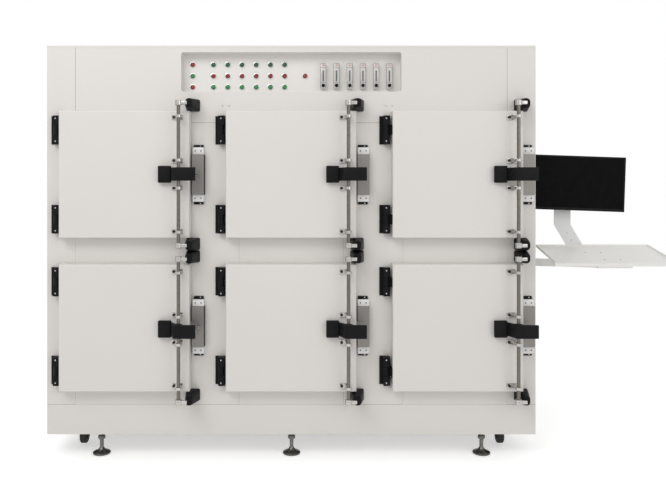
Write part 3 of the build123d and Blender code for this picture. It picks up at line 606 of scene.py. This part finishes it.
# %% Panel seams
kick_top_z = kick_high.z
head_low, head_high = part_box("header_panel")
front_low, front_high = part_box("chamber_fronts")
seam_half = 0.9 * MM
seam_in, seam_back = 0.3 * MM, 1.3 * MM
seam_end = 2 * MM
column_x = [(door_boxes[f"upper_{column}"][0].x + door_boxes[f"upper_{column}"][1].x) / 2
            for column in ("left", "centre", "right")]
front_half = (front_high.x - front_low.x - (column_x[2] - column_x[0])) / 2
seams = bmesh.new()


def seam(left, right, low_z, high_z):
    rounded_box(seams, (left, front_y + seam_in, low_z), (right, front_y + seam_back, high_z), 0)


seam(kick_low.x + seam_end, kick_high.x - seam_end, kick_top_z - seam_half, kick_top_z + seam_half)
seam(head_low.x, head_high.x, head_low.z - seam_half, head_low.z + seam_half)
for x in [x + side * front_half for x in column_x for side in (-1, 1)]:
    seam(x - seam_half, x + seam_half, kick_top_z, head_low.z)
for x in (head_low.x, head_high.x):
    seam(x - seam_half, x + seam_half, head_low.z, head_high.z - seam_end)
finish_piece("panel_seams", seams, [seam_shade], "oven", "powder_coat")

# %% [markdown]
# The push buttons and lamps are 22 mm panel fittings: a plated ring and a coloured cap. The caps
# of the two upper rows travel, so each is a piece of its own on its own body.

# %% Control panel
tray_skin = 1 * MM
panel_face_y = recess_back - tray_skin
bezel_r, bezel_slope_r, bezel_lip_r, bezel_bore_r = 14.5 * MM, 13.2 * MM, 11.6 * MM, 10.9 * MM
bezel_edge_out, bezel_slope_out, bezel_out, bezel_bore_out = 1.6 * MM, 3.2 * MM, 3.4 * MM, 2.4 * MM
cap_r = 10.5 * MM
cap_in, cap_edge = 1 * MM, 1.2 * MM
button_out, button_dome = 9 * MM, 0.4 * MM
lens_out, lens_dome = 7 * MM, 4 * MM
rows_z = (1.822, 1.769, 1.717)
left_column_x = -0.463
single_lamp_x = 0.063


def ring(mesh, centre):
    """Adds the plated bezel of one button or lamp."""
    profile = [(0, bezel_bore_r), (0, bezel_r), (bezel_edge_out, bezel_r), (bezel_slope_out, bezel_slope_r),
               (bezel_out, bezel_lip_r), (bezel_bore_out, bezel_bore_r), (0, bezel_bore_r)]
    turned(mesh, profile, centre, (0, -1, 0), 32)


def cap(mesh, centre, out, dome):
    """Adds a coloured cap that stands out from the panel and ends in a dome."""
    profile = [(-cap_in, 0), (-cap_in, cap_r), (out - cap_edge, cap_r),
               (out - cap_edge * 0.3, cap_r - cap_edge * 0.3), (out, cap_r - cap_edge),
               (out + dome * 0.6, cap_r * 0.55), (out + dome, 0)]
    turned(mesh, profile, centre, (0, -1, 0), 32)


rings = bmesh.new()
columns_x = []
for kind, material, slot in (("start", green_cap_painted_glow, "green_plastic"), ("stop", red_cap_painted_glow, "red_plastic")):
    for index in range(1, 7):
        node = f"{kind}_button_{index}"
        low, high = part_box(node)
        centre = Vector(((low.x + high.x) / 2, panel_face_y, (low.z + high.z) / 2))
        ring(rings, centre)
        mesh = bmesh.new()
        cap(mesh, centre, button_out, button_dome)
        finish_piece(f"{node}_cap", mesh, [material], node, slot, node)
        if kind == "start":
            columns_x.append(centre.x)

lamps = bmesh.new()
lamp_spots = [(middle_x + left_column_x, z, index != 1) for index, z in enumerate(rows_z)]
lamp_spots += [(x, rows_z[2], False) for x in columns_x] + [(middle_x + single_lamp_x, rows_z[1], True)]
for x, z, is_red in lamp_spots:
    centre = Vector((x, panel_face_y, z))
    ring(rings, centre)
    cap(lamps, centre, lens_out, lens_dome)
    set_faces(lamps, int(is_red))
finish_piece("panel_rings", rings, [bezel_grey], "oven", "lamp_plastic", "panel_lamps")
finish_piece("lamp_lenses", lamps, [green_lit, red_lens], "oven", "lamp_plastic", "panel_lamps")

# %% [markdown]
# A tube flow meter is a clear block with a dark bore, printed divisions, a red mark at full scale
# and a black needle-valve knob below. Six of them stand side by side.

# %% Flow meters
meter_count = 6
meter_w = 26 * MM
meter_t = 24 * MM
meter_edge = 1.6 * MM
bore_half, bore_margin = 2.6 * MM, 34 * MM
side_w, side_margin = 1.4 * MM, 2 * MM
band_half = meter_w / 2 - 0.5 * MM
top_bands, band_t = (19 * MM, 1 * MM), 1.2 * MM
knob_band = (29 * MM, 30.5 * MM)
red_half, red_top, red_t = 5 * MM, 7.5 * MM, 3.5 * MM
tick_count, tick_start, tick_pitch, tick_t = 11, 37 * MM, 4.5 * MM, 0.8 * MM
tick_inner, tick_short, tick_long = 3.4 * MM, 2.4 * MM, 4 * MM
knob_up = 14 * MM
knob_root_r, knob_r, knob_edge = 6 * MM, 8 * MM, 1 * MM
knob_root, knob_out = 3 * MM, 12 * MM
meter_low, meter_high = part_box("flow_meters")
meter_pitch = (meter_high.x - meter_low.x - meter_w) / (meter_count - 1)
meter_face_y = panel_face_y - meter_t
knob = [(-knob_edge, 0), (-knob_edge, knob_root_r), (knob_root, knob_root_r), (knob_root + knob_edge, knob_r),
        (knob_out - knob_edge, knob_r), (knob_out, knob_r - knob_edge), (knob_out, 0)]
meters = bmesh.new()


def inlay(x_ends, low_z, high_z, out=0.3 * MM, sunk=1 * MM, edge=0):
    """Adds a strip that stands a little out of the meter's face and is sunk into it."""
    left, right = sorted(x_ends)
    rounded_box(meters, (left, meter_face_y - out, low_z), (right, meter_face_y + sunk, high_z), edge, 1)


for index in range(meter_count):
    x = meter_low.x + meter_w / 2 + index * meter_pitch
    rounded_box(meters, (x - meter_w / 2, meter_face_y, meter_low.z),
                (x + meter_w / 2, panel_face_y, meter_high.z), meter_edge)
    set_faces(meters, 0)
    inlay((x - bore_half, x + bore_half), meter_low.z + bore_margin, meter_high.z - bore_margin,
          0.4 * MM, 2 * MM, 0.3 * MM)
    for side in (-1, 1):
        inlay((x + side * meter_w / 2, x + side * (meter_w / 2 - side_w)),
              meter_low.z + side_margin, meter_high.z - side_margin)
    for down in top_bands:
        inlay((x - band_half, x + band_half), meter_high.z - down - band_t, meter_high.z - down)
    inlay((x - band_half, x + band_half), meter_low.z + knob_band[0], meter_low.z + knob_band[1])
    set_faces(meters, 1)
    inlay((x - red_half, x + red_half), meter_high.z - red_top - red_t, meter_high.z - red_top,
          0.5 * MM, 1 * MM, 0.2 * MM)
    set_faces(meters, 2)
    for tick in range(tick_count):
        z = meter_low.z + tick_start + tick * tick_pitch
        length = tick_long if tick % 5 == 0 else tick_short
        for side in (-1, 1):
            inlay((x + side * tick_inner, x + side * (tick_inner + length)), z, z + tick_t, 0.7 * MM, 0)
    set_faces(meters, 1)
    turned(meters, knob, Vector((x, meter_face_y, meter_low.z + knob_up)), (0, -1, 0), 24)
    set_faces(meters, 3)
finish_piece("flow_meter_blocks", meters, [acrylic, tube_dark, mark_red, black_plastic], "oven",
             "clear_plastic", "flow_meters")

# %% [markdown]
# The screen is one black slab from the front: a narrow bezel stands a millimetre and a half proud
# of the panel, and both lean a little clockwise as the arm lets them.

# %% Monitor
monitor_joint = Vector(joints["monitor_tilt"]["pos_m"])
mon_low, mon_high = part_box("monitor")
case_w, case_h, case_t = 458 * MM, 268 * MM, 22 * MM
bezel, bezel_t = 9 * MM, 4 * MM
chin = bezel * 1.5
glass_in, glass_back = 1.3 * MM, 3 * MM
case_in = 1.5 * MM
hump_half_w, hump_half_h, hump_t = 137 * MM, 90 * MM, 14 * MM
neck_half, neck_r = 20 * MM, 12 * MM
lean = math.radians(2)
left, right, low_z, high_z = -case_w / 2, case_w / 2, -case_h / 2, case_h / 2
screen = bmesh.new()
rounded_box(screen, (left, case_in, low_z), (right, case_t, high_z), 2.5 * MM, 3)
for x_span, z_span in (
    ((left, right), (high_z - bezel, high_z)),
    ((left, right), (low_z, low_z + chin)),
    ((left, left + bezel), (low_z, high_z)),
    ((right - bezel, right), (low_z, high_z)),
):
    rounded_box(screen, (x_span[0], 0, z_span[0]), (x_span[1], bezel_t, z_span[1]), 1.2 * MM, 2)
rounded_box(screen, (-hump_half_w, case_t - 1 * MM, -hump_half_h),
            (hump_half_w, case_t + hump_t, hump_half_h), 8 * MM, 3)
set_faces(screen, 0)
rounded_box(screen, (left + bezel, glass_in, low_z + chin), (right - bezel, glass_back, high_z - bezel), 0)
set_faces(screen, 1)
case_centre = Vector(((mon_low.x + mon_high.x) / 2, mon_low.y, (mon_low.z + mon_high.z) / 2))
screen.transform(Matrix.Translation(case_centre) @ Matrix.Rotation(lean, 4, "Y"))
rounded_box(screen, (monitor_joint.x - neck_half, mon_low.y + case_t, monitor_joint.z - neck_r),
            (monitor_joint.x + neck_half, monitor_joint.y, monitor_joint.z + neck_r), 2 * MM, 2)
turned(screen, [(-neck_half, 0), (-neck_half, neck_r), (neck_half, neck_r), (neck_half, 0)],
       monitor_joint, (1, 0, 0), 28)
set_faces(screen, 0)
finish_piece("monitor_case", screen, [black_plastic, screen_black], "monitor", "black_plastic", "monitor")

# %% [markdown]
# Screws are the same shape dozens of times, so one Geometry Nodes tree makes them: a disc is
# raised, chamfered, and its socket pressed in, and a copy is set on each point of a mesh.


# %% Screw maker
def screw_tree():
    tree = bpy.data.node_groups.new("socket_screws", "GeometryNodeTree")
    face = tree.interface
    face.new_socket("Geometry", in_out="INPUT", socket_type="NodeSocketGeometry")
    for label, size in (("Radius", 0.003), ("Height", 0.003), ("Socket", 0.5)):
        face.new_socket(label, in_out="INPUT", socket_type="NodeSocketFloat").default_value = size
    face.new_socket("Facing", in_out="INPUT", socket_type="NodeSocketVector").default_value = (0, -1, 0)
    face.new_socket("Material", in_out="INPUT", socket_type="NodeSocketMaterial")
    face.new_socket("Geometry", in_out="OUTPUT", socket_type="NodeSocketGeometry")
    start = tree.nodes.new("NodeGroupInput")
    end = tree.nodes.new("NodeGroupOutput")

    def add(kind, inputs, **settings):
        node = tree.nodes.new(kind)
        for key, value in settings.items():
            setattr(node, key, value)
        for key, value in inputs.items():
            if hasattr(value, "links"):
                tree.links.new(value, node.inputs[key])
            else:
                node.inputs[key].default_value = value
        return node

    def times(socket, factor):
        return add("ShaderNodeMath", {0: socket, 1: factor}, operation="MULTIPLY").outputs[0]

    def raised(mesh, height, top=None):
        """Extrudes the top face, or the whole disc, by a height."""
        inputs = {"Mesh": mesh, "Offset Scale": height, "Individual": False}
        if top:
            inputs["Selection"] = top
        return add("GeometryNodeExtrudeMesh", inputs).outputs

    def narrowed(mesh, top, scale):
        inputs = {"Geometry": mesh, "Selection": top, "Scale": scale}
        return add("GeometryNodeScaleElements", inputs).outputs[0]

    disc = add("GeometryNodeMeshCircle", {"Vertices": 14, "Radius": start.outputs["Radius"]}, fill_type="NGON")
    wall = raised(disc.outputs[0], times(start.outputs["Height"], 0.75))
    slope = raised(wall["Mesh"], times(start.outputs["Height"], 0.25), wall["Top"])
    crown = narrowed(slope["Mesh"], slope["Top"], 0.82)
    inset = raised(crown, 0.0, slope["Top"])
    hole = narrowed(inset["Mesh"], inset["Top"], start.outputs["Socket"])
    sink = raised(hole, times(start.outputs["Height"], -0.6), inset["Top"])
    turn = add("FunctionNodeAlignRotationToVector", {"Vector": start.outputs["Facing"]}, axis="Z")
    spread = add("GeometryNodeInstanceOnPoints", {"Points": start.outputs["Geometry"],
                                                  "Instance": sink["Mesh"], "Rotation": turn.outputs[0]})
    solid = add("GeometryNodeRealizeInstances", {"Geometry": spread.outputs[0]})
    painted = add("GeometryNodeSetMaterial", {"Geometry": solid.outputs[0],
                                              "Material": start.outputs["Material"]})
    tree.links.new(painted.outputs[0], end.inputs[0])
    return tree


screws_tree = screw_tree()


def screws(name, points, body, material, radius, height, socket=0.5, facing=(0, -1, 0)):
    """Sets a screw head on each point and returns one plain mesh that rides on the body."""
    data = bpy.data.meshes.new(f"{name}_points")
    data.from_pydata([tuple(point) for point in points], [], [])
    holder = bpy.data.objects.new(name, data)
    bpy.context.scene.collection.objects.link(holder)
    modifier = holder.modifiers.new("screws", "NODES")
    modifier.node_group = screws_tree
    wanted = {"Radius": radius, "Height": height, "Socket": socket, "Facing": facing, "Material": material}
    for item in screws_tree.interface.items_tree:
        if item.in_out == "INPUT" and item.name in wanted:
            modifier[item.identifier] = wanted[item.name]
    bpy.context.view_layer.update()
    graph = bpy.context.evaluated_depsgraph_get()
    made = bpy.data.meshes.new_from_object(holder.evaluated_get(graph), depsgraph=graph)
    made.name = name
    holder.modifiers.remove(modifier)
    holder.data = made
    bpy.data.meshes.remove(data)
    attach(holder, body)
    return holder


# %% [markdown]
# The screws are set where a fitter would put them: two in each rod bracket's foot, two on each
# hinge, two in each end of a magnet and one in the middle of each armature.

# %% Fasteners
bracket_heights = (62 * MM, 257 * MM)
bracket_x, bracket_screw_half, bracket_out = -14.5 * MM, 14 * MM, 9 * MM
hinge_height, hinge_screw_half, hinge_screw_x, hinge_out = 204 * MM, 52 * MM, -2 * MM, 36 * MM
magnet_from_door = 34 * MM
magnet_screw_x, magnet_screw_z, magnet_out = 13 * MM, 108 * MM, 27.5 * MM
armature_out = 44.2 * MM
hinge_screws = []
magnet_screws = []
magnet_points = []
for name in door_names:
    low, high = door_boxes[name]
    axis = rod_axes[name]
    centre_z = (low.z + high.z) / 2
    points = [(axis.x + bracket_x + side * bracket_screw_half, low.y - bracket_out, centre_z + sign * height)
              for height in bracket_heights for sign in (-1, 1) for side in (-1, 1)]
    screws(f"bracket_screws_{name}", points, f"door_{name}", screw_black, 6.5 * MM, 8 * MM)
    pin_x = joints[f"door_{name}_hinge"]["pos_m"][0]
    magnet = Vector((high.x + magnet_from_door, front_y, centre_z))
    magnet_points.append(magnet)
    for sign in (-1, 1):
        for side in (-1, 1):
            hinge_z = centre_z + sign * hinge_height + side * hinge_screw_half
            hinge_screws.append((pin_x + hinge_screw_x, front_y - hinge_out, hinge_z))
            magnet_screws.append((magnet.x + side * magnet_screw_x, front_y - magnet_out,
                                  centre_z + sign * magnet_screw_z))
    centre = [(magnet.x, front_y - armature_out, centre_z)]
    screws(f"armature_screw_{name}", centre, f"door_{name}", chrome, 5.5 * MM, 3 * MM)
screws("hinge_screws", hinge_screws, "oven", chrome, 3.2 * MM, 1.2 * MM)
screws("magnet_screws", magnet_screws, "oven", screw_black, 3 * MM, 1.4 * MM)

tray_lean = math.radians(12)
tray_t = 3 * MM
tray_front = Vector((tray_low.x + 280 * MM, front_y, 894 * MM))
tray_up = Vector((0, -math.sin(tray_lean), math.cos(tray_lean)))
tray_back = Vector((0, math.cos(tray_lean), math.sin(tray_lean)))
# Across the tray and back from its front edge.
tray_spots = ((-75 * MM, 170 * MM), (0, 170 * MM), (-30 * MM, 55 * MM), (45 * MM, 55 * MM))
tray_screws = [tray_front + Vector((across, 0, 0)) + tray_back * along + tray_up * tray_t
               for across, along in tray_spots]
screws("tray_screws", tray_screws, "keyboard_tray", zinc, 4 * MM, 1.2 * MM, facing=tuple(tray_up))
post_back = 276 * MM
post_clear = 0.3 * MM
post_front_y = tray_front.y + post_back * math.cos(tray_lean) + post_clear
post_screws = [(middle_x + 1.372, post_front_y, 1.02), (middle_x + 1.392, post_front_y, 0.985)]
screws("post_screws", post_screws, "keyboard_tray", zinc, 4 * MM, 1.2 * MM)

# %% [markdown]
# A magnet is an anodised bar with a pale cap over each end. Dark strips along its long sides are painted
# shade for its shaded side faces; a dark tab with one screw at each end sets it off from the sheet behind.

# %% Magnet ends
cap_half_w, cap_inner_z, cap_outer_z = 25.6 * MM, 92 * MM, 124 * MM
# The side strips are painted shade: dark bars where the magnet's side faces fall in shadow.
side_inner, side_outer, side_half_h, side_out = 24.6 * MM, 28.6 * MM, 91 * MM, 24 * MM
tab_half_w, tab_inner_z, tab_outer_z, tab_out = 22 * MM, 125 * MM, 136.5 * MM, 9.5 * MM
tab_screw_x, tab_screw_z = 8 * MM, 131 * MM
sheet_gap = 1 * MM
tab_gap = 0.5 * MM
caps = bmesh.new()
# This mesh holds the painted-shade side strips and the real black end tabs.
edges = bmesh.new()
tab_points = []


def magnet_block(mesh, x_ends, z_ends, out, gap, edge, steps):
    """Adds a block that stands out from the front sheet, a small gap in front of it."""
    left, right = sorted(x_ends)
    low_z, high_z = sorted(z_ends)
    rounded_box(mesh, (left, front_y - out, low_z), (right, front_y - gap, high_z), edge, steps)


for point in magnet_points:
    # Painted shade: a dark strip along each long side of the magnet.
    for side in (-1, 1):
        magnet_block(edges, (point.x + side * side_inner, point.x + side * side_outer),
                     (point.z - side_half_h, point.z + side_half_h), side_out, sheet_gap, 1 * MM, 1)
    for sign in (-1, 1):
        magnet_block(caps, (point.x - cap_half_w, point.x + cap_half_w),
                     (point.z + sign * cap_inner_z, point.z + sign * cap_outer_z),
                     magnet_out, sheet_gap, 1.5 * MM, 2)
        magnet_block(edges, (point.x - tab_half_w, point.x + tab_half_w),
                     (point.z + sign * tab_inner_z, point.z + sign * tab_outer_z),
                     tab_out, tab_gap, 1 * MM, 1)
        tab_points.append((point.x + tab_screw_x, front_y - tab_out, point.z + sign * tab_screw_z))
finish_piece("magnet_end_caps", caps, [magnet_end], "oven", "magnet_grey")
finish_piece("magnet_shade_strips_and_tabs", edges, [black_metal], "oven", "black_hardware")
screws("magnet_tab_screws", tab_points, "oven", chrome, 3 * MM, 1.4 * MM)

# %% [markdown]
# A pale sweep stands for the studio: the floor is white and the light is broad and soft, from
# above and in front, so that edges show by their own shade rather than by hard shadows.

# %% Floor, light and world
floor_size = 30.0
floor_glow_strength = 0.46
room_strength = 0.55
floor_mesh = bpy.data.meshes.new("floor")
half = floor_size / 2
corners = [(-half, -half, 0), (half, -half, 0), (half, half, 0), (-half, half, 0)]
floor_mesh.from_pydata(corners, [], [(0, 1, 2, 3)])
floor = bpy.data.objects.new("floor", floor_mesh)
bpy.context.scene.collection.objects.link(floor)
floor_paint = Paint("floor_white")
floor_paint.set(Base_Color=floor_paint.mix(floor_paint.noise(1.5), (0.84, 0.84, 0.84), (0.88, 0.88, 0.88)),
                Roughness=0.7)
seen_straight = floor_paint.add("ShaderNodeLightPath", out="Is Camera Ray")
seen_mirrored = floor_paint.add("ShaderNodeLightPath", out="Is Glossy Ray")
seen_through = floor_paint.add("ShaderNodeLightPath", out="Is Transmission Ray")
floor_glow = floor_paint.mix(seen_straight + seen_mirrored + seen_through, (0.0, 0.0, 0.0), (1.0, 1.0, 1.0))
floor_paint.set(Emission_Color=floor_glow, Emission_Strength=floor_glow_strength)
floor_mesh.materials.append(floor_paint.material)

world = bpy.data.worlds.new("studio")
bpy.context.scene.world = world
world.use_nodes = True
world_nodes, world_links = world.node_tree.nodes, world.node_tree.links
room = world_nodes["Background"]
room.inputs["Color"].default_value = (1, 1, 1, 1)
room.inputs["Strength"].default_value = room_strength
seen = world_nodes.new("ShaderNodeBackground")
seen.inputs["Color"].default_value = (1, 1, 1, 1)
path = world_nodes.new("ShaderNodeLightPath")
show_white = path.outputs["Is Camera Ray"]
for more in ("Is Glossy Ray", "Is Transmission Ray"):
    either = world_nodes.new("ShaderNodeMath")
    either.operation = "MAXIMUM"
    world_links.new(show_white, either.inputs[0])
    world_links.new(path.outputs[more], either.inputs[1])
    show_white = either.outputs[0]
choose = world_nodes.new("ShaderNodeMixShader")
world_links.new(show_white, choose.inputs[0])
world_links.new(room.outputs[0], choose.inputs[1])
world_links.new(seen.outputs[0], choose.inputs[2])
world_links.new(choose.outputs[0], world_nodes["World Output"].inputs["Surface"])


def lamp(name, place, target, size, watts):
    data = bpy.data.lights.new(name, "AREA")
    data.shape = "RECTANGLE"
    data.size, data.size_y = size
    data.energy = watts
    light = bpy.data.objects.new(name, data)
    bpy.context.scene.collection.objects.link(light)
    light.location = place
    light.rotation_euler = (Vector(target) - Vector(place)).to_track_quat("-Z", "Y").to_euler()


middle = (middle_x, front_y, 1.0)
lamp("key", (middle_x - 1.8, front_y - 3.2, 3.8), (middle_x, front_y, 1.4), (3.0, 2.0), 68)
lamp("fill", (middle_x + 3.0, front_y - 3.5, 2.2), middle, (2.5, 2.5), 28)
lamp("top", (middle_x, front_y + 0.5, 4.2), middle, (3.5, 2.0), 14)

# %% Colour and closing
bpy.context.scene.view_settings.view_transform = "Standard"
